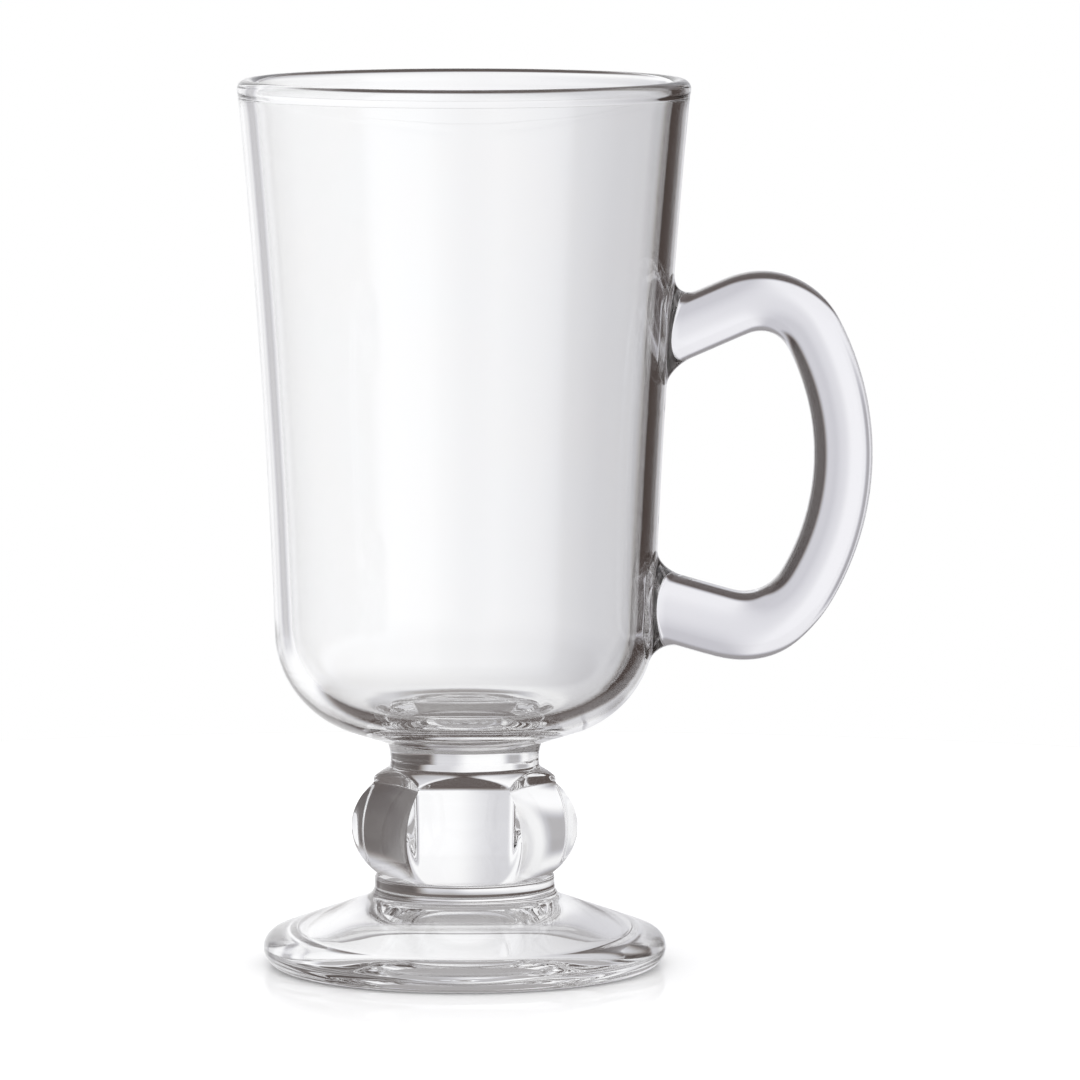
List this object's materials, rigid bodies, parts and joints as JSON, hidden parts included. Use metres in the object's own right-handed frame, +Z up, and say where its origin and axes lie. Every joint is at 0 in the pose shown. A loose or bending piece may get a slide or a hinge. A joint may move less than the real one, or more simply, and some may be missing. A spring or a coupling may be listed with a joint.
{
  "type": "irish coffee mug",
  "caption": "Clear glass mug with a tapered cup, a D-shaped ear, a short stem with a hexagonal knop and a domed hollow foot.",
  "frame": {"origin": "centre of the standing ring, on the axis of the cup, in the plane the foot stands on", "axes": "+Z up along the axis of the cup, +X towards the ear, +Y away from the picture's viewer"},
  "size_m": [0.1048, 0.0748, 0.147],
  "materials": {
    "clear_glass": "clear fire-polished pressed glass"
  },
  "bodies": {
    "root": {"bowl": "clear_glass", "collar": "clear_glass", "knop": "clear_glass", "foot": "clear_glass", "handle": "clear_glass"}
  },
  "joints": []
}
